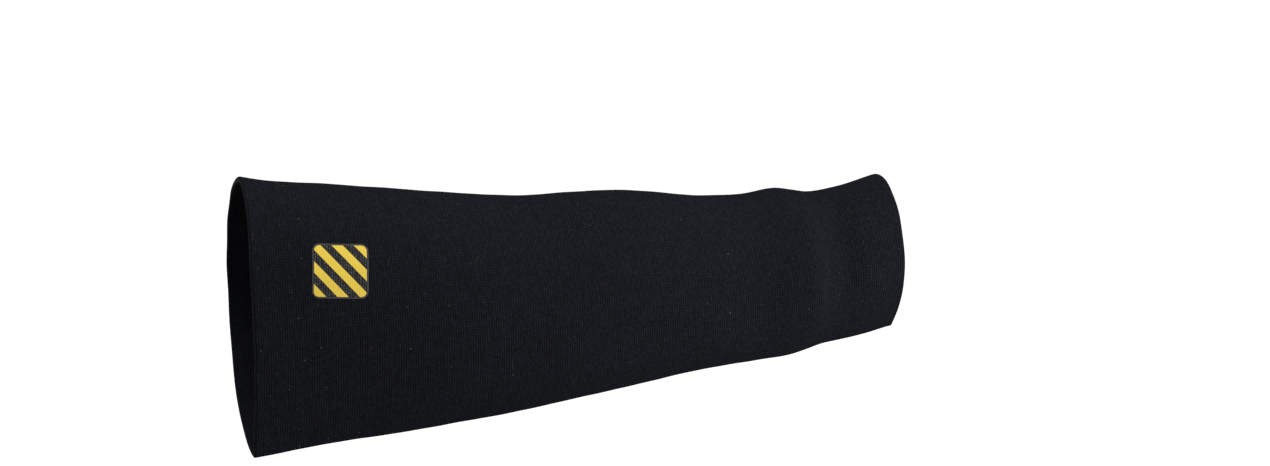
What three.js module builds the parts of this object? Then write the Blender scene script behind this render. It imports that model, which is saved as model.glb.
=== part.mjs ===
// Neoprene arm sleeve: one tapered tube of foam cloth that covers a forearm from elbow to wrist,
// cut raw at both ends, with a thin film patch pressed on its outer face near the elbow.
// Millimetres, +Z up. The origin is the middle of the wrist opening, +X points out of that opening,
// and -Y is the near side, which carries the patch.
import * as THREE from 'three';

// Sleeve
const WALL = 3; // foam with jersey on both faces
const LENGTH = 280; // elbow edge to wrist edge
const ELBOW_LEAN = 3; // how far the elbow edge leans back at its top and forward at its bottom
const WRIST_LEAN = 3.5;
const FAR_BELLY = 0.5; // the far side is a plain half oval
const FAR_FOLD = 1;
const POINTS_PER_SIDE = 24;
const LONGEST_STEP = 7; // between two rings

// Sections of the outer face, as the arm fills it, from the elbow edge on.
// top and bottom are heights, near and far are depths to either side of the plane Y = 0.
// belly is where the near side is deepest, as a share of the height,
// and fold tells how that side closes on the bottom line: 1 is round, 2 is a sharp crease.
const SECTIONS = [
  { along: 0, top: 34, bottom: -85, near: 26, far: 65, belly: 0.66, fold: 2 }, // elbow edge, flared
  { along: 9, top: 32.5, bottom: -83.5, near: 26, far: 62, belly: 0.65, fold: 2 },
  { along: 40, top: 30.5, bottom: -78.5, near: 27, far: 56, belly: 0.6, fold: 1.8 },
  { along: 80, top: 27.5, bottom: -73, near: 29, far: 48.5, belly: 0.5, fold: 1.4 },
  { along: 115, top: 25.5, bottom: -67, near: 30, far: 42, belly: 0.43, fold: 1.2 }, // hollow of the forearm
  { along: 165, top: 27.5, bottom: -57, near: 30, far: 35, belly: 0.43, fold: 1.2 },
  { along: 200, top: 25, bottom: -50, near: 29, far: 30, belly: 0.44, fold: 1.2 },
  { along: 218, top: 25.4, bottom: -47.5, near: 28.2, far: 28.5, belly: 0.45, fold: 1.3 },
  { along: 234, top: 28, bottom: -45.5, near: 30.5, far: 28.5, belly: 0.46, fold: 1.4 },
  { along: 241, top: 27.4, bottom: -43.4, near: 31.1, far: 26.7, belly: 0.46, fold: 1.5 }, // soft roll
  { along: 248, top: 26.5, bottom: -41, near: 28.2, far: 25, belly: 0.47, fold: 1.6 },
  { along: 255, top: 27.1, bottom: -39.4, near: 26.9, far: 25.2, belly: 0.48, fold: 1.7 }, // crease at the wrist
  { along: 264, top: 29, bottom: -37.5, near: 28.6, far: 26, belly: 0.51, fold: 1.8 },
  { along: 280, top: 34, bottom: -33.5, near: 28.4, far: 26, belly: 0.55, fold: 1.9 }, // wrist edge
];

// Patch
const PATCH_LENGTH = 23.5; // along the sleeve
const PATCH_WIDTH = 22.7; // round the sleeve
const PATCH_CORNER = 3;
const PATCH_ALONG = 34.9; // its middle, from the middle of the elbow edge
const PATCH_HEIGHT = -5.2;
const PATCH_TURN = THREE.MathUtils.degToRad(-1.2); // it isn't pressed on quite square
const PATCH_FILM = 0.4;
const PATCH_GAP = 0.3; // clear of the facets of the sleeve
const PATCH_POINTS = 56;
const PATCH_RINGS = 4;
const SLOPE_REACH = 0.5; // how far apart the points lie that give the sleeve's slope

const SLEEVE_MATERIAL = new THREE.MeshStandardMaterial({ color: 0x1b1d21, roughness: 0.92, metalness: 0 });
const PATCH_MATERIAL = new THREE.MeshStandardMaterial({ color: 0xe0bb3e, roughness: 0.6, metalness: 0 });

const COLUMNS = ['top', 'bottom', 'near', 'far', 'belly', 'fold'];

const sectionTable = new THREE.CubicInterpolant(
  SECTIONS.map((row) => row.along),
  SECTIONS.flatMap((row) => COLUMNS.map((name) => row[name])),
  COLUMNS.length,
);

// The section at any distance from the elbow edge, by a smooth curve through the table's rows.
function sectionAt(along) {
  const values = sectionTable.evaluate(along);
  return Object.fromEntries(COLUMNS.map((name, column) => [name, values[column]]));
}

// One side of a section, from the top line round to the bottom line, as (Y, Z) points.
class SideProfile extends THREE.Curve {
  constructor(section, depth, belly, fold) {
    super();
    this.depth = depth;
    this.fold = fold;
    this.belly = THREE.MathUtils.lerp(section.bottom, section.top, belly);
    this.rise = section.top - this.belly;
    this.drop = this.belly - section.bottom;
  }

  getPoint(t, point = new THREE.Vector2()) {
    const angle = Math.PI * (0.5 - t);
    const above = angle > 0;
    const y = this.depth * Math.cos(angle) ** (above ? 1 : this.fold);
    return point.set(y, this.belly + (above ? this.rise : this.drop) * Math.sin(angle));
  }

  depthAt(height) {
    const above = height > this.belly;
    const sine = (height - this.belly) / (above ? this.rise : this.drop);
    return this.depth * Math.sqrt(1 - sine ** 2) ** (above ? 1 : this.fold);
  }
}

function nearSide(section) {
  return new SideProfile(section, -section.near, section.belly, section.fold);
}

function farSide(section) {
  return new SideProfile(section, section.far, FAR_BELLY, FAR_FOLD);
}

// The outer face's closed outline at a section: down the near side and back up the far side.
function outline(section) {
  const down = nearSide(section).getSpacedPoints(POINTS_PER_SIDE);
  const up = farSide(section).getSpacedPoints(POINTS_PER_SIDE).reverse();
  return [...down.slice(0, -1), ...up.slice(0, -1)];
}

function inwardNormal(from, to) {
  return new THREE.Vector2(from.y - to.y, to.x - from.x).normalize();
}

// An outline moved inwards, with each of its edges the same distance in.
function inset(points, distance) {
  return points.map((point, i) => {
    const before = inwardNormal(points.at(i - 1), point);
    const after = inwardNormal(point, points[(i + 1) % points.length]);
    const mitre = distance / (1 + before.dot(after));
    return point.clone().addScaledVector(before.add(after), mitre);
  });
}

// How far back a section leans at a height. The sections lean with the edges that they lie between.
function leanAt(along, z) {
  const section = sectionAt(along);
  const lean = THREE.MathUtils.mapLinear(along, 0, LENGTH, ELBOW_LEAN, WRIST_LEAN);
  return lean * THREE.MathUtils.mapLinear(z, section.bottom, section.top, -1, 1);
}

// A section's (Y, Z) point in space.
function inSpace(along, y, z) {
  return new THREE.Vector3(along - LENGTH - leanAt(along, z), y, z);
}

// A point lifted off the near side's outer face. No lean shifts its distance from the elbow edge.
function onNearSide(along, height, lift) {
  const surface = (a, z) => {
    const leaning = a + leanAt(a, z);
    return inSpace(leaning, nearSide(sectionAt(leaning)).depthAt(z), z);
  };
  const lengthwise = surface(along + SLOPE_REACH, height).sub(surface(along - SLOPE_REACH, height));
  const upwards = surface(along, height + SLOPE_REACH).sub(surface(along, height - SLOPE_REACH));
  const normal = lengthwise.cross(upwards).normalize();
  return surface(along, height).addScaledVector(normal, lift);
}

// Distances from the elbow edge at which the sleeve has a ring of points: every row, and even steps between.
function stations() {
  const places = [SECTIONS[0].along];
  for (let row = 1; row < SECTIONS.length; row += 1) {
    const start = SECTIONS[row - 1].along;
    const span = SECTIONS[row].along - start;
    const steps = Math.ceil(span / LONGEST_STEP);
    for (let step = 1; step <= steps; step += 1) {
      places.push(start + (span * step) / steps);
    }
  }
  return places;
}

function bodyGeometry(points, triangles) {
  const geometry = new THREE.BufferGeometry();
  geometry.setFromPoints(points);
  geometry.setIndex(triangles.flat());
  geometry.computeVertexNormals();
  return geometry;
}

// The wall: rings run along the outside to the wrist edge, turn over it and come back along the inside.
function sleeveGeometry() {
  const places = stations();
  const ringAt = (along, depth) => {
    return inset(outline(sectionAt(along)), depth).map(({ x, y }) => inSpace(along, x, y));
  };
  const outside = places.map((along) => ringAt(along, 0));
  const inside = places.map((along) => ringAt(along, WALL)).reverse();
  const rings = [...outside, ...inside];
  const round = 2 * POINTS_PER_SIDE;
  const at = (ring, point) => (ring % rings.length) * round + (point % round);
  const triangles = rings.flatMap((points, i) =>
    points.flatMap((_, j) => [
      [at(i, j), at(i, j + 1), at(i + 1, j + 1)],
      [at(i, j), at(i + 1, j + 1), at(i + 1, j)],
    ]),
  );
  return bodyGeometry(rings.flat(), triangles);
}

// The patch's outline, with round corners about its own middle.
function patchOutline() {
  const shape = new THREE.Shape();
  const reachX = PATCH_LENGTH / 2 - PATCH_CORNER;
  const reachY = PATCH_WIDTH / 2 - PATCH_CORNER;
  const corners = [[1, 1], [-1, 1], [-1, -1], [1, -1]];
  corners.forEach(([x, y], i) => {
    const start = (i * Math.PI) / 2;
    shape.absarc(x * reachX, y * reachY, PATCH_CORNER, start, start + Math.PI / 2);
  });
  shape.closePath();
  const middle = new THREE.Vector2();
  const points = shape.getSpacedPoints(PATCH_POINTS).slice(0, -1);
  return points.map((point) => point.rotateAround(middle, PATCH_TURN));
}

// The film: two sheets of rings round a middle point, bent to the sleeve, joined along their edge.
function patchGeometry() {
  const outer = patchOutline();
  const shares = Array.from({ length: PATCH_RINGS }, (_, ring) => (ring + 1) / PATCH_RINGS);
  const rings = shares.flatMap((share) => outer.map((point) => point.clone().multiplyScalar(share)));
  const flat = [new THREE.Vector2(), ...rings];
  const sheetAt = (lift) => flat.map(({ x, y }) => onNearSide(PATCH_ALONG + x, PATCH_HEIGHT + y, lift));
  const at = (ring, point) => 1 + ring * outer.length + (point % outer.length);
  const upper = outer.flatMap((_, j) => [
    [0, at(0, j), at(0, j + 1)],
    ...shares.slice(1).flatMap((_share, ring) => [
      [at(ring, j), at(ring + 1, j), at(ring + 1, j + 1)],
      [at(ring, j), at(ring + 1, j + 1), at(ring, j + 1)],
    ]),
  ]);
  const lower = upper.map(([a, b, c]) => [a, c, b].map((index) => index + flat.length));
  const rim = PATCH_RINGS - 1;
  const edge = outer.flatMap((_, j) => [
    [at(rim, j), at(rim, j) + flat.length, at(rim, j + 1) + flat.length],
    [at(rim, j), at(rim, j + 1) + flat.length, at(rim, j + 1)],
  ]);
  const sheets = [...sheetAt(PATCH_GAP + PATCH_FILM), ...sheetAt(PATCH_GAP)];
  return bodyGeometry(sheets, [...upper, ...lower, ...edge]);
}

function piece(name, geometry, material) {
  const mesh = new THREE.Mesh(geometry, material);
  mesh.name = name;
  return mesh;
}

const sleeve = new THREE.Group();
sleeve.add(
  piece('neoprene_sleeve', sleeveGeometry(), SLEEVE_MATERIAL),
  piece('transfer_patch', patchGeometry(), PATCH_MATERIAL),
);

export default sleeve;
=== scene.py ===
"""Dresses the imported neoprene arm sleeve: knitted jersey, raw foam edges, a stitched seam and a film patch.

Metres, +Z up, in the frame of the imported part. The origin is the middle of the wrist opening, +X points out
of that opening, and -Y is the near side, which carries the patch.
"""

from __future__ import annotations

import logging
import math
from dataclasses import astuple, dataclass
from enum import Enum
from typing import Any, Mapping, Optional, Sequence, Union

import bpy
import numpy as np
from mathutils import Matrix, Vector

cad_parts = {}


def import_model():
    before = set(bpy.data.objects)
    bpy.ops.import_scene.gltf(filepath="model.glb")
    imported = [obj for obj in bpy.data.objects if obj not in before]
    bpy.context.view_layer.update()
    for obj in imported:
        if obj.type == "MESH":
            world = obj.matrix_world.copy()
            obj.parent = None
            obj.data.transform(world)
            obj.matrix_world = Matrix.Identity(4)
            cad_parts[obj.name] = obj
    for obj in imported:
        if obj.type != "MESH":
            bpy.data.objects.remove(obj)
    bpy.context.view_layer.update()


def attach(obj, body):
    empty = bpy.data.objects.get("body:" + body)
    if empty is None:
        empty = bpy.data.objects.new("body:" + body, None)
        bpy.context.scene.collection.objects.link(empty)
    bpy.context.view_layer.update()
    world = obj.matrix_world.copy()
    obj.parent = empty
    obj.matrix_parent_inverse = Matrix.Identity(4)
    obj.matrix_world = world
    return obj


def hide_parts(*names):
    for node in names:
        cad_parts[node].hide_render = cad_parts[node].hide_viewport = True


LOG = logging.getLogger("arm_sleeve")
ROOT_BODY = "root"
MM = 0.001

Array = np.ndarray
Numbers = Union[float, Array]
Colour = tuple[float, float, float]
Point = tuple[float, float, float]


class Face(Enum):
    """The two jersey faces of the sleeve's wall."""

    OUTER = "outer"
    INNER = "inner"


class Shell(Enum):
    """The finishes along the sleeve's wall, in the order of its material slots."""

    JERSEY = 0
    FOAM = 1


# Shader graphs


class Socket:
    """A node's output that takes part in Python expressions as a number does."""

    def __init__(self, graph: Graph, output: bpy.types.NodeSocket) -> None:
        """Keep the output and the graph that it belongs to."""
        self.graph = graph
        self.output = output

    def maths(self, operation: str, *terms: Value) -> Socket:
        """Add a Math node that starts with this value and goes on with the terms."""
        return self.graph.maths(operation, self, *terms)

    def __add__(self, other: Value) -> Socket:
        """Add a value."""
        return self.maths("ADD", other)

    __radd__ = __add__

    def __sub__(self, other: Value) -> Socket:
        """Take a value away."""
        return self.maths("SUBTRACT", other)

    def __rsub__(self, other: Value) -> Socket:
        """Take this away from a value."""
        return self.graph.maths("SUBTRACT", other, self)

    def __mul__(self, other: Value) -> Socket:
        """Multiply by a value."""
        return self.maths("MULTIPLY", other)

    __rmul__ = __mul__

    def __truediv__(self, other: Value) -> Socket:
        """Divide by a value."""
        return self.maths("DIVIDE", other)

    def __pow__(self, other: Value) -> Socket:
        """Raise to a power."""
        return self.maths("POWER", other)

    def __lt__(self, other: Value) -> Socket:
        """Give 1 where this is less than a value, and else 0."""
        return self.maths("LESS_THAN", other)

    def __abs__(self) -> Socket:
        """Drop the sign."""
        return self.maths("ABSOLUTE")

    def floor(self) -> Socket:
        """Round down."""
        return self.maths("FLOOR")

    def fract(self) -> Socket:
        """Keep what is left after rounding down."""
        return self.maths("FRACT")

    def fade(self, start: float, end: float) -> Socket:
        """Go smoothly from 0 at start to 1 at end.

        Args:
            start: the value that gives 0.
            end: the value that gives 1, which may be less than start.

        Returns:
            The faded value.
        """
        smooth = {"interpolation_type": "SMOOTHSTEP"}
        inputs = {"Value": self, "From Min": start, "From Max": end}
        return self.graph.take("Result", "ShaderNodeMapRange", smooth, inputs)


Value = Union[Socket, float]


class Graph:
    """A node tree that is written as expressions."""

    def __init__(self, tree: bpy.types.NodeTree) -> None:
        """Start on an empty tree."""
        self.tree = tree
        self.tree.nodes.clear()

    def feed(self, entry: bpy.types.NodeSocket, value: Any) -> None:
        """Link a socket to an output, or set its value.

        Args:
            entry: the socket.
            value: a Socket to link, or a number, colour or vector to set.
        """
        if isinstance(value, Socket):
            self.tree.links.new(value.output, entry)
        elif entry.type == "RGBA" and len(value) == 3:
            entry.default_value = (*value, 1.0)
        else:
            entry.default_value = value

    def node(
        self,
        kind: str,
        settings: Optional[Mapping[str, Any]] = None,
        inputs: Optional[Mapping[Union[str, int], Any]] = None,
    ) -> bpy.types.Node:
        """Add a node.

        Args:
            kind: the node's type.
            settings: its properties, set first.
            inputs: what its sockets take, by name or by number.

        Returns:
            The node.
        """
        node = self.tree.nodes.new(kind)
        for name, setting in (settings or {}).items():
            setattr(node, name, setting)
        for key, value in (inputs or {}).items():
            self.feed(node.inputs[key], value)
        return node

    def take(
        self,
        output: Union[str, int],
        kind: str,
        settings: Optional[Mapping[str, Any]] = None,
        inputs: Optional[Mapping[Union[str, int], Any]] = None,
    ) -> Socket:
        """Add a node and take one of its outputs, by name or by number."""
        return Socket(self, self.node(kind, settings, inputs).outputs[output])

    def maths(self, operation: str, *terms: Value) -> Socket:
        """Add a Math node and take its result."""
        return self.take(0, "ShaderNodeMath", {"operation": operation}, dict(enumerate(terms)))

    def vectors(self, operation: str, *terms: Any) -> Socket:
        """Add a Vector Math node and take the vector that it gives."""
        return self.take("Vector", "ShaderNodeVectorMath", {"operation": operation}, dict(enumerate(terms)))

    def blend(self, share: Value, first: Any, second: Any, how: str = "MIX") -> Socket:
        """Mix two colours.

        Args:
            share: how much of the second colour is in the mix, from 0 to 1.
            first: the first colour.
            second: the second colour.
            how: the blend type.

        Returns:
            The mixed colour.
        """
        settings = {"data_type": "RGBA", "blend_type": how, "clamp_factor": True}
        return self.take(2, "ShaderNodeMix", settings, {0: share, 6: first, 7: second})

    def grey(self, value: Value) -> Socket:
        """Make a colour of three equal values."""
        channels = dict.fromkeys(("Red", "Green", "Blue"), value)
        return self.take("Color", "ShaderNodeCombineColor", None, channels)

    def split(self, vector: Socket) -> tuple[Socket, Socket, Socket]:
        """Take a vector's X, Y and Z apart."""
        node = self.node("ShaderNodeSeparateXYZ", None, {"Vector": vector})
        return tuple(Socket(self, output) for output in node.outputs)

    def join(self, x: Value, y: Value) -> Socket:
        """Make a flat vector of two numbers."""
        return self.take("Vector", "ShaderNodeCombineXYZ", None, {"X": x, "Y": y})

    def layout(self, name: str) -> Socket:
        """Read a UV map."""
        return self.take("UV", "ShaderNodeUVMap", {"uv_map": name})

    def place(self) -> Socket:
        """Read the point in the part's frame, in metres."""
        return self.take("Object", "ShaderNodeTexCoord")

    def noise(self, vector: Socket, size: float, detail: float = 2.0) -> Socket:
        """Add a cloud pattern.

        Args:
            vector: the place, in metres.
            size: the width of its patches, in metres.
            detail: how many finer patterns lie in it.

        Returns:
            A value about 0.5.
        """
        inputs = {"Vector": vector, "Scale": 1 / size, "Detail": detail}
        return self.take("Fac", "ShaderNodeTexNoise", None, inputs)

    def bump(self, height: Value, depth: float) -> Socket:
        """Bend the normal by a height, of which 1 stands above 0 by the depth in metres."""
        return self.take("Normal", "ShaderNodeBump", None, {"Height": height, "Distance": depth})

    def surface(self, **inputs: Any) -> None:
        """Close the graph with a Principled surface.

        Args:
            inputs: what its sockets take, named with _ for a space.
        """
        named = {name.replace("_", " "): value for name, value in inputs.items()}
        shader = self.take("BSDF", "ShaderNodeBsdfPrincipled", None, named)
        self.node("ShaderNodeOutputMaterial", None, {"Surface": shader})


def new_material(name: str) -> tuple[bpy.types.Material, Graph]:
    """Make a material.

    Args:
        name: its name.

    Returns:
        The material and its empty graph.
    """
    material = bpy.data.materials.new(name)
    material.use_nodes = True
    return material, Graph(material.node_tree)


# Finishes


@dataclass(frozen=True)
class Knit:
    """Fine jersey: wales round the sleeve, each a row of slanted loops staggered against the next."""

    wale: float = 1.0 * MM
    loop: float = 1.2 * MM
    slant: float = 0.3
    uneven: float = 0.35
    crown_share: float = 0.7

    def loops(self, graph: Graph, layout: Socket) -> tuple[Socket, Socket]:
        """Lay out the loops of yarn.

        Args:
            graph: the finish's graph.
            layout: the place on the cloth in metres, with X along the sleeve and Y round it.

        Returns:
            The yarn's height, from 0 in the gaps to 1 on the loops, and a random number from 0 to 1
            for each loop.
        """
        along, around, _ = graph.split(layout)
        wales = along / self.wale
        number = wales.floor()
        across = wales.fract() * 2.0 - 1.0
        odd = (number * 0.5).fract() * 2.0
        shift = graph.take("Value", "ShaderNodeTexWhiteNoise", {"noise_dimensions": "1D"}, {"W": number})
        lean = across * (1.0 - 2.0 * odd) * self.slant
        row = around / self.loop + odd * 0.5 + shift * self.uneven + lean
        through = row.fract() * 2.0 - 1.0
        ridge = 1.0 - across * across
        crown = 1.0 - through * through
        each = {"Vector": graph.join(number, row.floor())}
        luck = graph.take("Value", "ShaderNodeTexWhiteNoise", {"noise_dimensions": "2D"}, each)
        return ridge * (crown * self.crown_share + (1 - self.crown_share)), luck


@dataclass(frozen=True)
class Lint:
    """Sparse specks of lint and short pale fibres that cling to the jersey, more so near its two ends."""

    cloth_length: float = 280 * MM
    middle_reach: float = 60 * MM
    end_reach: float = 110 * MM
    speck_cell: float = 8.7 * MM
    speck_radius: float = 0.2 * MM
    speck_share: float = 0.42
    end_share: float = 0.55
    speck_cover: float = 0.3
    bright_cover: float = 0.9
    bright_rarity: float = 16.0
    fibre_cell: float = 42.0 * MM
    fibre_half_length: float = 2.4 * MM
    fibre_half_width: float = 0.08 * MM
    fibre_bow: float = 70.0
    fibre_share: float = 0.6
    fibre_cover: float = 0.4

    def cells(self, graph: Graph, layout: Socket, cell: float) -> tuple[Socket, Socket, Socket, Socket]:
        """Scatter one point in each cell of the cloth.

        Args:
            graph: the finish's graph.
            layout: the place on the cloth, in metres.
            cell: the cells' width, in metres.

        Returns:
            The place from the nearest point, in metres, and two random numbers of that point.
        """
        scaled = graph.vectors("SCALE", layout)
        graph.feed(scaled.output.node.inputs["Scale"], 1 / cell)
        kind = {"voronoi_dimensions": "2D", "feature": "F1"}
        node = graph.node("ShaderNodeTexVoronoi", kind, {"Vector": scaled, "Scale": 1.0, "Randomness": 1.0})
        offset = graph.vectors("SUBTRACT", scaled, Socket(graph, node.outputs["Position"]))
        x, y, _ = graph.split(offset)
        first, second, _ = graph.split(Socket(graph, node.outputs["Color"]))
        return x * cell, y * cell, first, second

    def cover(self, graph: Graph, layout: Socket) -> Socket:
        """Work out where lint covers the jersey.

        Args:
            graph: the finish's graph.
            layout: the place on the cloth, in metres.

        Returns:
            The cover, from 0 to 1.
        """
        along, _, _ = graph.split(layout)
        from_middle = abs(abs(along - self.cloth_length) - self.cloth_length / 2)
        share = self.speck_share + self.end_share * from_middle.fade(self.middle_reach, self.end_reach)
        x, y, first, second = self.cells(graph, layout, self.speck_cell)
        radius = (x * x + y * y) ** 0.5
        size = self.speck_radius * (0.6 + second)
        cover = self.speck_cover + self.bright_cover * second**self.bright_rarity
        speck = (radius / size).fade(1.0, 0.4) * (first < share) * cover
        x, y, first, second = self.cells(graph, layout, self.fibre_cell)
        turn = second * math.tau
        along = x * turn.maths("COSINE") + y * turn.maths("SINE")
        across = y * turn.maths("COSINE") - x * turn.maths("SINE")
        bowed = abs(across + along * along * self.fibre_bow)
        fibre = bowed.fade(self.fibre_half_width, 0.2 * self.fibre_half_width)
        ends = abs(along).fade(self.fibre_half_length, 0.8 * self.fibre_half_length)
        return speck.maths("MAXIMUM", fibre * ends * (first < self.fibre_share) * self.fibre_cover)


@dataclass(frozen=True)
class JerseyFinish:
    """Black nylon jersey, matt, with its knit, painted highlight on the loops, painted shade between them,
    and a little lint.
    """

    cool_colour: Colour = (0.0083, 0.0100, 0.0132)
    warm_colour: Colour = (0.0092, 0.0095, 0.0128)
    lint_colour: Colour = (0.13, 0.12, 0.11)
    knit: Knit = Knit()
    lint: Lint = Lint()
    worn_patch: float = 35 * MM
    yarn_patch: float = 1.6 * MM
    dye_patch: float = 2.6 * MM
    relief: float = 0.12 * MM
    layout: str = "Cloth"

    def material(self) -> bpy.types.Material:
        """Make the material.

        Returns:
            The material.
        """
        material, graph = new_material("black_jersey")
        layout = graph.layout(self.layout)
        knit, luck = self.knit.loops(graph, layout)
        place = graph.place()
        worn = graph.noise(place, self.worn_patch)
        yarn = graph.noise(place, self.yarn_patch, 3.0)
        dye = graph.noise(place, self.dye_patch).fade(0.3, 0.7)
        # The tone is lighter on the loops and darker in the gaps between them: painted highlight and painted
        # shade of the knit's relief. The per-loop, worn and yarn terms are the cloth's own uneven tone.
        tone = (0.3 + 1.16 * knit * (0.66 + 0.68 * luck)) * (0.88 + 0.24 * worn) * (0.84 + 0.32 * yarn)
        dyed = graph.blend(dye, self.cool_colour, self.warm_colour)
        cloth = graph.blend(1.0, dyed, graph.grey(tone), "MULTIPLY")
        lint = self.lint.cover(graph, layout)
        relief = knit * (0.7 + 0.6 * yarn) + lint * 0.6
        graph.surface(
            Base_Color=graph.blend(lint, cloth, self.lint_colour),
            Roughness=0.95 - 0.12 * knit,
            Specular_IOR_Level=0.04,
            Normal=graph.bump(relief, self.relief),
        )
        return material


@dataclass(frozen=True)
class FoamFinish:
    """The black sponge rubber that shows where the sleeve is cut."""

    colour: Colour = (0.0170, 0.0166, 0.0160)
    pore: float = 0.28 * MM
    drag_mark: float = 2.5 * MM
    relief: float = 0.1 * MM

    def material(self) -> bpy.types.Material:
        """Make the material.

        Returns:
            The material.
        """
        material, graph = new_material("black_foam")
        place = graph.place()
        kind = {"voronoi_dimensions": "3D", "feature": "F1"}
        inputs = {"Vector": place, "Scale": 1 / self.pore}
        pores = graph.take("Distance", "ShaderNodeTexVoronoi", kind, inputs)
        open_pores = pores.fade(0.15, 0.6)
        drag = graph.noise(place, self.drag_mark)
        # The tone is darker in the pores: painted shade in the pores. The drag term is the cut face's own
        # uneven tone.
        tone = (0.35 + 0.75 * open_pores) * (0.75 + 0.5 * drag)
        graph.surface(
            Base_Color=graph.blend(1.0, self.colour, graph.grey(tone), "MULTIPLY"),
            Roughness=0.9 - 0.2 * open_pores,
            Specular_IOR_Level=0.2,
            Normal=graph.bump(open_pores + drag * 0.5, self.relief),
        )
        return material


@dataclass(frozen=True)
class ThreadFinish:
    """Black sewing thread of two twisted plies."""

    colour: Colour = (0.018, 0.018, 0.021)
    twist: float = 0.9 * MM
    relief: float = 0.08 * MM
    layout: str = "Thread"

    def material(self) -> bpy.types.Material:
        """Make the material.

        Returns:
            The material.
        """
        material, graph = new_material("black_thread")
        along, around, _ = graph.split(graph.layout(self.layout))
        ply = abs((along / self.twist + around * 2.0).fract() * 2.0 - 1.0)
        round_ply = 1.0 - ply * ply
        # The colour is lighter on the middle of each ply and darker where the plies meet: painted highlight
        # and painted shade of the twist.
        graph.surface(
            Base_Color=graph.blend(1.0, self.colour, graph.grey(0.55 + 0.6 * round_ply), "MULTIPLY"),
            Roughness=0.62 - 0.15 * round_ply,
            Specular_IOR_Level=0.3,
            Normal=graph.bump(round_ply, self.relief),
        )
        return material


@dataclass(frozen=True)
class FilmFinish:
    """Heat-pressed film with plain diagonal bars, through which the ribs of the jersey show as painted
    highlight on their loops and painted shade between them.
    """

    length: float
    width: float
    corner: float
    print_colour: Colour = (0.82, 0.597, 0.076)
    film_colour: Colour = (0.0290, 0.0286, 0.0306)
    margin_colour: Colour = (0.055, 0.055, 0.058)
    bar: float = 3.3 * MM
    margin: float = 0.75 * MM
    soft_edge: float = 0.09 * MM
    ragged_patch: float = 0.5 * MM
    ragged_reach: float = 0.1 * MM
    faded_patch: float = 5 * MM
    relief: float = 0.08 * MM
    knit: Knit = Knit()
    layout: str = "Film"

    def inset(self, graph: Graph, x: Socket, y: Socket) -> Socket:
        """Measure how far inside the film's outline a place is.

        Args:
            graph: the finish's graph.
            x: the place along the sleeve from the film's middle.
            y: the place up the film from its middle.

        Returns:
            The distance in from the outline, in metres.
        """
        past_x = abs(x) - (self.length / 2 - self.corner)
        past_y = abs(y) - (self.width / 2 - self.corner)
        over_x = past_x.maths("MAXIMUM", 0.0)
        over_y = past_y.maths("MAXIMUM", 0.0)
        round_part = (over_x * over_x + over_y * over_y) ** 0.5
        straight_part = past_x.maths("MAXIMUM", past_y).maths("MINIMUM", 0.0)
        return self.corner - round_part - straight_part

    def material(self) -> bpy.types.Material:
        """Make the material.

        Returns:
            The material.
        """
        material, graph = new_material("printed_film")
        layout = graph.layout(self.layout)
        x, y, _ = graph.split(layout)
        knit, luck = self.knit.loops(graph, layout)
        place = graph.place()
        ragged = graph.noise(place, self.ragged_patch) - 0.5
        slanted = (x + y) * math.sqrt(0.5) + ragged * self.ragged_reach
        phase = abs((slanted / (2 * self.bar)).fract() * 2.0 - 1.0) * self.bar
        bars = (phase - self.bar / 2).fade(-self.soft_edge, self.soft_edge)
        inside = self.inset(graph, x, y)
        printed = bars * inside.fade(self.margin - self.soft_edge, self.margin + self.soft_edge)
        # The film is much lighter on the jersey's loops and darker between them: painted highlight and
        # painted shade of the ribs under the film. The per-loop term is uneven tone.
        ribs = graph.grey(0.2 + 3.1 * knit**3.0 * (0.35 + 1.3 * luck))
        ribbed = graph.blend(1.0, self.film_colour, ribs, "MULTIPLY")
        # The margin is also lighter on the loops: painted highlight of the ribs.
        rim = graph.blend(1.0, self.margin_colour, graph.grey(0.7 + 0.6 * knit), "MULTIPLY")
        film = graph.blend(inside.fade(self.margin, 0.5 * self.margin), ribbed, rim)
        faded = graph.noise(place, self.faded_patch)
        # The ink is a little lighter on the loops: painted highlight. The faded term is the print's own wear.
        ink = graph.blend(1.0, self.print_colour, graph.grey(0.88 + 0.1 * knit + 0.1 * faded), "MULTIPLY")
        graph.surface(
            Base_Color=graph.blend(printed, film, ink),
            Roughness=0.55 + 0.12 * faded - 0.08 * knit,
            Specular_IOR_Level=0.15,
            Normal=graph.bump(knit * 0.7 + printed * 0.3, self.relief),
        )
        return material


# The sleeve's form


@dataclass(frozen=True)
class Section:
    """A section of the sleeve's outer face, in metres; belly is a share of the height and fold a power."""

    along: Numbers
    top: Numbers
    bottom: Numbers
    near: Numbers
    far: Numbers
    belly: Numbers
    fold: Numbers

    @classmethod
    def row(cls, along: float, top: float, bottom: float, near: float, far: float, *shape: float) -> Section:
        """Take a row of the part's own table, with lengths in millimetres."""
        return cls(*(MM * length for length in (along, top, bottom, near, far)), *shape)


def line_lengths(line: Array) -> Array:
    """Measure a line.

    Args:
        line: its points, one a row.

    Returns:
        The length from the first point to each point.
    """
    steps = np.linalg.norm(np.diff(line, axis=0), axis=1)
    return np.concatenate([[0.0], np.cumsum(steps)])


def ring_lengths(ring: Array) -> Array:
    """Measure a closed ring from its first point to each point, and last round to the first again."""
    return line_lengths(np.concatenate([ring, ring[:1]]))


def spaced(line: Array, shares: Array) -> Array:
    """Pick points on a line.

    Args:
        line: the line's points, one a row.
        shares: the shares of its length at which the picked points lie.

    Returns:
        The picked points, one a row.
    """
    reached = line_lengths(line)
    return np.column_stack([np.interp(shares * reached[-1], reached, column) for column in line.T])


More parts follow.
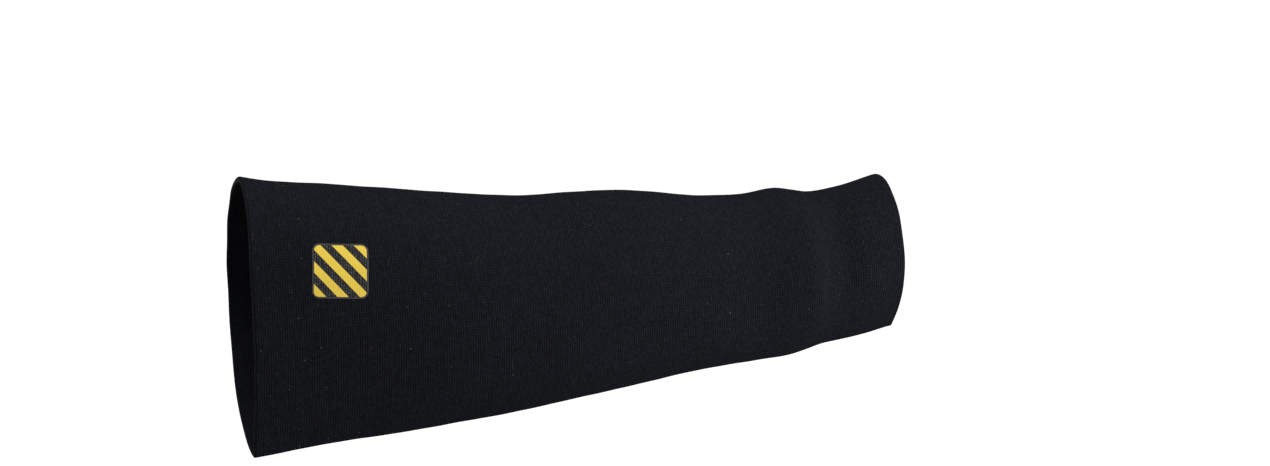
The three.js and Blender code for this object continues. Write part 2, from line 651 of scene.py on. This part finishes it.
@dataclass(frozen=True)
class SleeveForm:
    """The sleeve's true form: a smooth loft through its sections, with the soft unevenness of worn foam."""

    sections: tuple[Section, ...] = (
        Section.row(0, 34, -85, 26, 65, 0.66, 2),
        Section.row(9, 32.5, -83.5, 26, 62, 0.65, 2),
        Section.row(40, 30.5, -78.5, 27, 56, 0.6, 1.8),
        Section.row(80, 27.5, -73, 29, 48.5, 0.5, 1.4),
        Section.row(115, 25.5, -67, 30, 42, 0.43, 1.2),
        Section.row(165, 27.5, -57, 30, 35, 0.43, 1.2),
        Section.row(200, 25, -50, 29, 30, 0.44, 1.2),
        Section.row(218, 25.4, -47.5, 28.2, 28.5, 0.45, 1.3),
        Section.row(234, 28, -45.5, 30.5, 28.5, 0.46, 1.4),
        Section.row(241, 27.4, -43.4, 31.1, 26.7, 0.46, 1.5),
        Section.row(248, 26.5, -41, 28.2, 25, 0.47, 1.6),
        Section.row(255, 27.1, -39.4, 26.9, 25.2, 0.48, 1.7),
        Section.row(264, 29, -37.5, 28.6, 26, 0.51, 1.8),
        Section.row(280, 34, -33.5, 28.4, 26, 0.55, 1.9),
    )
    length: float = 280 * MM
    wall: float = 3 * MM
    elbow_lean: float = 3.0 * MM
    wrist_lean: float = 3.5 * MM
    far_belly: float = 0.5
    near_points: int = 120
    far_points: int = 118
    side_points: int = 721
    seam_share: float = 0.05
    seam_steps: tuple[float, ...] = (-0.008, -0.005, -0.0025, 0.0, 0.0025, 0.005, 0.008)
    seam_clear: float = 0.009
    seam_strip: int = 12
    seam_groove: float = 0.4 * MM
    seam_groove_width: float = 0.6 * MM
    crease_softening: int = 2
    cut_waver: float = 0.22 * MM
    cut_reach: float = 7 * MM

    def section_at(self, along: Numbers) -> Section:
        """Work out sections by a smooth curve through the table's rows.

        Args:
            along: distances from the elbow edge.

        Returns:
            The sections there.
        """
        table = np.array([astuple(row) for row in self.sections])
        places, values = table[:, 0], table[:, 1:]
        at = np.clip(along, places[0], places[-1])
        secants = np.diff(values, axis=0) / np.diff(places)[:, None]
        slopes = np.vstack([secants[:1], (secants[1:] + secants[:-1]) / 2, secants[-1:]])
        upper = np.clip(np.searchsorted(places, at, side="right"), 1, len(places) - 1)
        lower = upper - 1
        span = (places[upper] - places[lower])[..., None]
        p = (at - places[lower])[..., None] / span
        start = (1 + 2 * p) * (1 - p) ** 2 * values[lower] + p * (1 - p) ** 2 * span * slopes[lower]
        end = p**2 * (3 - 2 * p) * values[upper] + p**2 * (p - 1) * span * slopes[upper]
        return Section(along, *np.moveaxis(start + end, -1, 0))

    def lean_at(self, along: Numbers, z: Numbers) -> Numbers:
        """Work out how far back a section leans; the sections lean with the edges that they lie between.

        Args:
            along: the section's distance from the elbow edge.
            z: the height.

        Returns:
            The shift along -X, in metres.
        """
        section = self.section_at(along)
        lean = self.elbow_lean + (self.wrist_lean - self.elbow_lean) * along / self.length
        return lean * (2 * (z - section.bottom) / (section.top - section.bottom) - 1)

    def in_space(self, along: Numbers, y: Numbers, z: Numbers) -> Array:
        """Set points of a section in space.

        Args:
            along: the section's distance from the elbow edge.
            y: the points' depths.
            z: the points' heights.

        Returns:
            The points, one a row.
        """
        x = along - self.length - self.lean_at(along, z)
        return np.stack(np.broadcast_arrays(x, y, z), axis=-1)

    def side(self, section: Section, depth: float, belly: float, fold: float) -> Array:
        """Draw one side of a section.

        Args:
            section: the section.
            depth: how deep the side is, with its sign.
            belly: where it is deepest, as a share of the height.
            fold: how it closes on the bottom line, from 1 for round to 2 for a crease.

        Returns:
            Close points from the top line to the bottom line, as rows of Y and Z.
        """
        angle = np.linspace(math.pi / 2, -math.pi / 2, self.side_points)
        middle = section.bottom + belly * (section.top - section.bottom)
        above = angle > 0
        y = depth * np.clip(np.cos(angle), 0, 1) ** np.where(above, 1.0, fold)
        z = middle + np.where(above, section.top - middle, middle - section.bottom) * np.sin(angle)
        return np.column_stack([y, z])

    def swell(self, points: Array) -> Array:
        """Give the soft unevenness of the worn foam.

        Args:
            points: points of the smooth form, one a row.

        Returns:
            How far each point stands out, in metres.
        """
        x, y, z = points.T
        broad = 0.16 * np.sin(95 * x + 40 * z + 0.6) * np.sin(70 * z - 30 * y + 1.1)
        ripple = 0.09 * np.sin(210 * x - 60 * z + 60 * y + 2.2) * np.sin(120 * z + 50 * x)
        dimple = 0.05 * np.sin(330 * x + 190 * z + 0.4) * np.sin(260 * z - 170 * y - 140 * x)
        return MM * (broad + ripple + dimple)

    def waver(self, along: float, points: Array) -> Array:
        """Give how far a hand-cut edge wanders from its line, fading out away from the two edges.

        Args:
            along: the ring's distance from the elbow edge.
            points: the ring's points, one a row.

        Returns:
            The shifts along X, in metres.
        """
        _, y, z = points.T
        elbow = np.sin(85 * z + 55 * y + 0.5) + 0.5 * np.sin(230 * z - 140 * y + 1.9)
        wrist = np.sin(120 * z - 70 * y + 2.4) + 0.5 * np.sin(290 * z + 160 * y + 0.3)
        from_elbow = max(along, 0.0) / self.cut_reach
        from_wrist = max(self.length - along, 0.0) / self.cut_reach
        return self.cut_waver * (elbow * math.exp(-from_elbow) + wrist * math.exp(-from_wrist))

    def outline(self, section: Section) -> Array:
        """Draw the closed outline of the outer face at a section.

        Args:
            section: the section.

        Returns:
            Points from the seam up the far side, down the near side and back to the seam, as rows of Y and Z.
        """
        beside_seam = np.array(self.seam_steps) + self.seam_share
        even = np.arange(self.far_points) / self.far_points
        clear = even[np.abs(even - self.seam_share) > self.seam_clear]
        shares = np.sort(np.concatenate([clear, beside_seam]))
        far = spaced(self.side(section, section.far, self.far_belly, 1.0)[::-1], shares)
        down = np.arange(self.near_points) / self.near_points
        near = spaced(self.side(section, -section.near, section.belly, section.fold), down)
        first = int(np.argmin(np.abs(shares - self.seam_share)))
        ring = np.concatenate([far[first:], near, far[:first]])
        for _ in range(self.crease_softening):
            ring = (np.roll(ring, 1, axis=0) + 2 * ring + np.roll(ring, -1, axis=0)) / 4
        return ring

    def ring(self, along: float, depth: float = 0.0) -> Array:
        """Set a ring of the wall in space.

        Args:
            along: its distance from the elbow edge.
            depth: how far it lies below the outer face.

        Returns:
            Points from the seam on, one a row.
        """
        flat = self.outline(self.section_at(along))
        tangent = np.roll(flat, -1, axis=0) - np.roll(flat, 1, axis=0)
        inward = np.column_stack([-tangent[:, 1], tangent[:, 0]])
        inward /= np.linalg.norm(inward, axis=1)[:, None]
        round_it = ring_lengths(flat)
        from_seam = np.minimum(round_it[:-1], round_it[-1] - round_it[:-1])
        side = -1 if depth > self.wall / 2 else 1
        groove = side * self.seam_groove * np.exp(-((from_seam / self.seam_groove_width) ** 2))
        swell = self.swell(self.in_space(along, flat[:, 0], flat[:, 1]))
        moved = flat + inward * (depth - swell + groove)[:, None]
        points = self.in_space(along, moved[:, 0], moved[:, 1])
        points[:, 0] += self.waver(along, points)
        return points

    def beside_seam(self, along: float, distance: float, lift: float, face: Face) -> Array:
        """Find a point near the seam.

        Args:
            along: its distance from the elbow edge.
            distance: its distance from the seam, round the sleeve.
            lift: how far it stands off the wall.
            face: the face of the wall that it lies on.

        Returns:
            The point.
        """
        outer = face is Face.OUTER
        ring = self.ring(along, 0.0 if outer else self.wall)
        count = self.seam_strip
        strip = np.concatenate([ring[-count:], ring[: count + 1]])
        places = line_lengths(strip)
        places -= places[count]

        def at(place: float) -> Array:
            """Find the point at a place on the strip."""
            return np.array([np.interp(place, places, column) for column in strip.T])

        reach = 0.8 * MM
        tangent = at(distance + reach) - at(distance - reach)
        outward = np.array([0.0, tangent[2], -tangent[1]])
        outward *= (1 if outer else -1) / np.linalg.norm(outward)
        return at(distance) + lift * outward

    def near_points_at(self, along: Array, height: Array, lift: Array) -> Array:
        """Find points on the near side.

        Args:
            along: their distances from the elbow edge, which no lean shifts.
            height: their heights.
            lift: how far they stand off the outer face.

        Returns:
            The points, one a row.
        """

        def surface(a: Array, z: Array) -> Array:
            """Find points on the smooth outer face.

            Args:
                a: their distances from the elbow edge.
                z: their heights.

            Returns:
                The points, one a row.
            """
            leaning = a + self.lean_at(a, z)
            section = self.section_at(leaning)
            middle = section.bottom + section.belly * (section.top - section.bottom)
            above = z > middle
            sine = (z - middle) / np.where(above, section.top - middle, middle - section.bottom)
            y = -section.near * np.sqrt(1 - sine**2) ** np.where(above, 1.0, section.fold)
            return self.in_space(leaning, y, z)

        reach = 0.5 * MM
        lengthwise = surface(along + reach, height) - surface(along - reach, height)
        upwards = surface(along, height + reach) - surface(along, height - reach)
        outward = np.cross(lengthwise, upwards)
        outward /= np.linalg.norm(outward, axis=1)[:, None]
        points = surface(along, height)
        return points + outward * (lift + self.swell(points))[:, None]


# Pieces


def new_mesh(
    name: str,
    points: Array,
    faces: Sequence[Sequence[int]],
    layout: str,
    corners: Array,
) -> bpy.types.Object:
    """Make a smooth mesh piece with a UV map.

    Args:
        name: the piece's name.
        points: its points, one a row.
        faces: the points of each face.
        layout: the UV map's name.
        corners: the UV of each corner of each face, one a row.

    Returns:
        The piece.
    """
    mesh = bpy.data.meshes.new(name)
    mesh.from_pydata(points.tolist(), [], [list(map(int, face)) for face in faces])
    mesh.polygons.foreach_set("use_smooth", [True] * len(mesh.polygons))
    mesh.uv_layers.new(name=layout).data.foreach_set("uv", np.asarray(corners, np.float32).ravel())
    mesh.validate()
    mesh.update()
    piece = bpy.data.objects.new(name, mesh)
    bpy.context.scene.collection.objects.link(piece)
    return piece


def rounded_edge(radius: float, steps: int) -> list[tuple[float, float]]:
    """Draw a quarter round from a face over to its edge.

    Args:
        radius: the round's radius.
        steps: how many steps it is drawn in.

    Returns:
        How far in from the edge and how far below the face each point lies.
    """
    turns = np.linspace(0, math.pi / 2, steps + 1)
    return [(radius * (1 - math.sin(a)), radius * (1 - math.cos(a))) for a in turns]


@dataclass(frozen=True)
class WallStop:
    """One ring of the sleeve's wall, and the finish from it to the next ring."""

    along: float
    depth: float
    shell: Shell = Shell.JERSEY


@dataclass
class NeopreneSleeve:
    """The tube of jersey-faced foam, open and cut raw at both ends."""

    form: SleeveForm
    outer_rings: int = 200
    inner_rings: int = 76
    lip: float = 0.8 * MM
    elbow_overrun: float = 1.0 * MM
    wrist_overrun: float = 1.2 * MM
    lip_rings: int = 5
    cut_rings: int = 5
    cut_hollow: float = 0.18 * MM
    flat_width: float = 310 * MM
    flat_length: float = 275 * MM
    flat_area: float = 0.0655

    def cut(self) -> list[tuple[float, float, Shell]]:
        """Draw a raw edge: jersey that rolls over the foam from both faces, and slightly hollow foam between.

        Returns:
            Setback, depth and finish of each ring, from the outer face to the inner face.
        """
        wall = self.form.wall
        shares = np.linspace(0, 1, self.cut_rings + 1)[1:-1]
        outer = [(*point, Shell.JERSEY) for point in rounded_edge(self.lip, self.lip_rings)[1:-1]]
        first = [(0.0, self.lip, Shell.FOAM)]
        span = wall - 2 * self.lip
        core = [(self.cut_hollow * math.sin(math.pi * s), self.lip + span * s, Shell.FOAM) for s in shares]
        last = [(0.0, wall - self.lip, Shell.JERSEY)]
        inner = [(setback, wall - depth, Shell.JERSEY) for setback, depth, _ in reversed(outer)]
        return outer + first + core + last + inner

    def stops(self) -> list[WallStop]:
        """List the wall's rings: along the outside, over the wrist edge, back inside and over the elbow edge.

        Returns:
            The rings, in that order.
        """
        start = -self.elbow_overrun
        end = self.form.length + self.wrist_overrun
        cut = self.cut()
        outer = np.linspace(start + self.lip, end - self.lip, self.outer_rings)
        inner = np.linspace(end - self.lip, start + self.lip, self.inner_rings)
        # On the way back, a ring's finish is the one between it and the ring before it in the cut.
        shells = [shell for _, _, shell in cut[:-1]]
        back = zip(reversed(cut), [*reversed(shells), Shell.JERSEY])
        stops = [WallStop(a, 0.0) for a in outer]
        stops += [WallStop(end - setback, depth, shell) for setback, depth, shell in cut]
        stops += [WallStop(a, self.form.wall) for a in inner]
        stops += [WallStop(start + setback, depth, shell) for (setback, depth, _), shell in back]
        return stops

    def build(self) -> bpy.types.Object:
        """Make the mesh.

        Returns:
            The piece.
        """
        stops = self.stops()
        rings = np.array([self.form.ring(stop.along, stop.depth) for stop in stops])
        count, round_count = rings.shape[:2]
        ring = np.arange(count)[:, None]
        column = np.arange(round_count)[None, :]
        next_ring = (ring + 1) % count
        next_column = (column + 1) % round_count
        corners = [(ring, column), (ring, next_column), (next_ring, next_column), (next_ring, column)]
        numbers = [np.broadcast_to(r * round_count + c, (count, round_count)) for r, c in corners]
        faces = np.stack(numbers, axis=-1).reshape(-1, 4)
        path = np.array([(stop.along, stop.depth) for stop in stops])
        along = ring_lengths(path)
        around = np.array([ring_lengths(points) for points in rings])
        around = np.vstack([around, around[:1]])
        spots = [(0, 0), (0, 1), (1, 1), (1, 0)]
        u = [np.broadcast_to(along[r : r + count, None], (count, round_count)) for r, _ in spots]
        v = [around[r : r + count, c : c + round_count] for r, c in spots]
        layout = np.stack([np.stack(u, axis=-1), np.stack(v, axis=-1)], axis=-1).reshape(-1, 2)
        piece = new_mesh("sleeve", rings.reshape(-1, 3), faces, "Cloth", layout)
        shells = np.repeat([stop.shell.value for stop in stops], round_count)
        for finish in (JerseyFinish(), FoamFinish()):
            piece.data.materials.append(finish.material())
        piece.data.polygons.foreach_set("material_index", shells.astype(np.int32))
        piece.data.update()
        return piece

    def dress(self, piece: bpy.types.Object, sewn_on: Sequence[bpy.types.Object]) -> None:
        """Attach the piece to the root body and hide the part that it replaces.

        Args:
            piece: the sleeve.
            sewn_on: the pieces that go with the cloth; not used.
        """
        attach(piece, ROOT_BODY)
        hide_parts("neoprene_sleeve")


@dataclass
class ClosingSeam:
    """The zigzag stitches that join the cloth's two edges along the sleeve, on one face of the wall."""

    form: SleeveForm
    face: Face
    pitch: float = 2.6 * MM
    half_width: float = 2.3 * MM
    thread: float = 0.42 * MM
    margin: float = 1.6 * MM
    leg_points: int = 7
    thread_points: int = 8
    crown: float = 0.24 * MM
    bite: float = 0.16 * MM
    fullness: float = 0.6

    def path(self) -> Array:
        """Draw the thread's middle line: from needle hole to needle hole, drawn into the foam at each.

        Returns:
            The line's points, one a row.
        """
        legs = int((self.form.length - 2 * self.margin) / (self.pitch / 2))
        points = []
        for place in np.linspace(0, legs, legs * self.leg_points + 1):
            leg = min(int(place), legs - 1)
            share = place - leg
            side = 1 if leg % 2 else -1
            lift = -self.bite + (self.crown + self.bite) * math.sin(math.pi * share) ** self.fullness
            along = self.margin + place * self.pitch / 2
            from_seam = side * self.half_width * (1 - 2 * share)
            points.append(self.form.beside_seam(along, from_seam, lift, self.face))
        return np.array(points)

    def build(self) -> bpy.types.Object:
        """Make the mesh.

        Returns:
            The piece.
        """
        path = self.path()
        tangent = np.gradient(path, axis=0)
        tangent /= np.linalg.norm(tangent, axis=1)[:, None]
        lengthwise = np.array([1.0, 0.0, 0.0])
        side = lengthwise - tangent * (tangent @ lengthwise)[:, None]
        side /= np.linalg.norm(side, axis=1)[:, None]
        up = np.cross(tangent, side)
        turn = np.arange(self.thread_points) * math.tau / self.thread_points
        radius = self.thread / 2
        offsets = np.cos(turn)[None, :, None] * side[:, None] + np.sin(turn)[None, :, None] * up[:, None]
        points = (path[:, None] + radius * offsets).reshape(-1, 3)
        reached = line_lengths(path)
        faces, corners = [], []
        n = self.thread_points
        for i in range(len(path) - 1):
            for j in range(n):
                k = (j + 1) % n
                faces.append((i * n + j, i * n + k, (i + 1) * n + k, (i + 1) * n + j))
                spots = [(i, j), (i, j + 1), (i + 1, j + 1), (i + 1, j)]
                corners += [(reached[a], b / n) for a, b in spots]
        for i, order in ((0, range(n - 1, -1, -1)), (len(path) - 1, range(n))):
            faces.append([i * n + j for j in order])
            corners += [(reached[i], j / n) for j in order]
        return new_mesh(f"seam_{self.face.value}", points, faces, "Thread", np.array(corners))

    def dress(self, piece: bpy.types.Object, material: bpy.types.Material) -> None:
        """Give the thread its finish and its place.

        Args:
            piece: the stitches.
            material: the thread's finish.
        """
        piece.data.materials.append(material)
        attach(piece, ROOT_BODY)


@dataclass
class TransferPatch:
    """The thin rounded square of film that is pressed on the near side, close to the elbow."""

    form: SleeveForm
    length: float = 23.5 * MM
    width: float = 22.7 * MM
    corner: float = 3 * MM
    along: float = 34.9 * MM
    height: float = -5.2 * MM
    turn: float = math.radians(-1.2)
    top: float = 0.34 * MM
    under: float = -0.15 * MM
    rounding: float = 0.26 * MM
    points: int = 192
    corner_points: int = 33
    rings: int = 20
    edge_rings: int = 4

    def outline(self) -> Array:
        """Draw the patch with its round corners about its own middle.

        Returns:
            The outline's points, one a row, running anticlockwise.
        """
        reach = np.array([self.length, self.width]) / 2 - self.corner
        arcs = []
        for quarter, signs in enumerate([(1, 1), (-1, 1), (-1, -1), (1, -1)]):
            angles = np.linspace(quarter, quarter + 1, self.corner_points) * math.pi / 2
            arcs.append(reach * signs + self.corner * np.column_stack([np.cos(angles), np.sin(angles)]))
        line = np.concatenate([*arcs, arcs[0][:1]])
        return spaced(line, np.arange(self.points) / self.points)

    def levels(self) -> list[tuple[float, float]]:
        """List the film's rings.

        Returns:
            How far in from the outline each ring lies, and its lift: from the middle out, over the edge
            and under.
        """
        half = self.width / 2
        inner = [(half * (1 - share), self.top) for share in np.linspace(0, 1, self.rings + 1)[1:-1]]
        edge = [(inset, self.top - drop) for inset, drop in rounded_edge(self.rounding, self.edge_rings)]
        return inner + edge + [(0.0, self.under)]

    def build(self) -> bpy.types.Object:
        """Make the mesh.

        Returns:
            The piece.
        """
        outline = self.outline()
        half = self.width / 2
        levels = self.levels()
        middle = [[0.0, 0.0]]
        flat = np.concatenate([middle, *(outline * (1 - inset / half) for inset, _ in levels), middle])
        ring_lifts = np.repeat([lift for _, lift in levels], self.points)
        lifts = np.concatenate([[self.top], ring_lifts, [self.under]])
        cosine, sine = math.cos(self.turn), math.sin(self.turn)
        x = flat[:, 0] * cosine - flat[:, 1] * sine
        y = flat[:, 0] * sine + flat[:, 1] * cosine
        points = self.form.near_points_at(self.along + x, self.height + y, lifts)
        n = self.points
        last = len(flat) - 1
        rim = 1 + (len(levels) - 1) * n
        faces = []
        for j in range(n):
            k = (j + 1) % n
            faces.append((0, 1 + j, 1 + k))
            faces += [(s + j, s + n + j, s + n + k, s + k) for s in range(1, rim, n)]
            faces.append((rim + j, last, rim + k))
        corners = np.concatenate([flat[list(face)] for face in faces])
        return new_mesh("film_patch", points, faces, "Film", corners)

    def dress(self, piece: bpy.types.Object) -> None:
        """Give the film its finish, attach it to the root body and hide the part that it replaces.

        Args:
            piece: the film.
        """
        piece.data.materials.append(FilmFinish(self.length, self.width, self.corner).material())
        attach(piece, ROOT_BODY)
        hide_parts("transfer_patch")


# The studio


@dataclass(frozen=True)
class Softbox:
    """A square soft light that points at the middle of the sleeve."""

    name: str
    place: Point
    width: float
    power: float

    def build(self, aim: Vector) -> None:
        """Hang the light.

        Args:
            aim: the point that it faces.
        """
        lamp = bpy.data.lights.new(self.name, "AREA")
        lamp.shape = "SQUARE"
        lamp.size = self.width
        lamp.energy = self.power
        holder = bpy.data.objects.new(self.name, lamp)
        holder.location = self.place
        holder.rotation_euler = (aim - holder.location).to_track_quat("-Z", "Y").to_euler()
        holder.visible_camera = False
        bpy.context.scene.collection.objects.link(holder)


@dataclass
class Studio:
    """A pale floor well below the sleeve, white surroundings, soft lights and the photograph's viewpoint."""

    aim: Point = (-0.1125, 0.0, 0.0087)
    azimuth: float = -14.0
    elevation: float = 2.0
    distance: float = 1.3748
    lens: float = 90.0
    sensor: float = 36.0
    floor_height: float = -1.5
    floor_radius: float = 40.0
    floor_points: int = 96
    backdrop: float = 1.05
    ambient: float = 0.15
    lit_point: Point = (-0.14, 0.0, -0.02)
    lights: tuple[Softbox, ...] = (
        Softbox("low_right", (0.25, -0.45, -0.15), 0.5, 3.0),
        Softbox("low_front", (0.05, -0.30, -0.25), 0.7, 0.9),
        Softbox("high_front", (0.07, -0.56, 1.02), 1.2, 3.4),
        Softbox("high_left", (-0.45, -0.13, 1.39), 0.8, 14.8),
        Softbox("right_upper", (0.30, -0.25, 0.30), 0.3, 0.25),
        Softbox("right_side", (0.45, -0.12, 0.17), 0.3, 1.0),
        Softbox("left_fill", (-1.30, -0.12, 0.02), 0.5, 3.0),
        Softbox("back_fill", (0.61, 2.91, -0.10), 0.6, 110.0),
    )

    def build(self) -> None:
        """Set up the floor, the surroundings, the lights and the camera."""
        self.build_floor()
        self.build_surroundings()
        for light in self.lights:
            light.build(Vector(self.lit_point))
        self.build_camera()
        bpy.context.scene.view_settings.view_transform = "Standard"

    def build_floor(self) -> None:
        """Lay the pale floor."""
        turns = np.linspace(0, math.tau, self.floor_points, endpoint=False)
        level = np.full_like(turns, self.floor_height)
        ring = np.column_stack([self.floor_radius * np.cos(turns), self.floor_radius * np.sin(turns), level])
        mesh = bpy.data.meshes.new("floor")
        mesh.from_pydata(ring.tolist(), [], [list(range(self.floor_points))])
        floor = bpy.data.objects.new("floor", mesh)
        material, graph = new_material("pale_floor")
        graph.surface(
            Base_Color=(0.86, 0.86, 0.86),
            Roughness=0.9,
            Specular_IOR_Level=0.1,
            Emission_Color=(1.0, 1.0, 1.0, 1.0),
            Emission_Strength=1.0,
        )
        material.cycles.emission_sampling = "NONE"
        mesh.materials.append(material)
        floor.visible_diffuse = False
        floor.visible_glossy = False
        floor.visible_shadow = False
        bpy.context.scene.collection.objects.link(floor)

    def build_surroundings(self) -> None:
        """Make the surroundings white to look at and gentler as a light."""
        world = bpy.data.worlds.new("studio")
        bpy.context.scene.world = world
        world.use_nodes = True
        graph = Graph(world.node_tree)
        seen = graph.take("Is Camera Ray", "ShaderNodeLightPath")
        strength = self.ambient + (self.backdrop - self.ambient) * seen
        inputs = {"Color": (1, 1, 1), "Strength": strength}
        glow = graph.take("Background", "ShaderNodeBackground", None, inputs)
        graph.node("ShaderNodeOutputWorld", None, {"Surface": glow})

    def build_camera(self) -> None:
        """Set the camera at the photograph's viewpoint."""
        lens = bpy.data.cameras.new("camera")
        lens.lens = self.lens
        lens.sensor_width = self.sensor
        lens.sensor_fit = "HORIZONTAL"
        camera = bpy.data.objects.new("camera", lens)
        turn, rise = math.radians(self.azimuth), math.radians(self.elevation)
        back = Vector((math.sin(turn) * math.cos(rise), -math.cos(turn) * math.cos(rise), math.sin(rise)))
        camera.location = Vector(self.aim) + self.distance * back
        camera.rotation_euler = (-back).to_track_quat("-Z", "Y").to_euler()
        bpy.context.scene.collection.objects.link(camera)
        bpy.context.scene.camera = camera


def report(piece: bpy.types.Object) -> None:
    """Log a piece's name and size."""
    size = ", ".join(f"{1000 * side:.1f}" for side in piece.dimensions)
    LOG.info("%s: %d faces, %s mm", piece.name, len(piece.data.polygons), size)


def main() -> None:
    """Build the studio and the pieces in order."""
    logging.basicConfig(level=logging.INFO, format="%(name)s: %(message)s")
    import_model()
    Studio().build()
    form = SleeveForm()

    sleeve_maker = NeopreneSleeve(form)
    sleeve = sleeve_maker.build()
    patch_maker = TransferPatch(form)
    patch = patch_maker.build()
    patch_maker.dress(patch)
    thread = ThreadFinish().material()
    seams = []
    for face in Face:
        seam_maker = ClosingSeam(form, face)
        seam = seam_maker.build()
        seam_maker.dress(seam, thread)
        seams.append(seam)
    sleeve_maker.dress(sleeve, [patch, *seams])
    for piece in (sleeve, patch, *seams):
        report(piece)


if __name__ == "__main__":
    main()
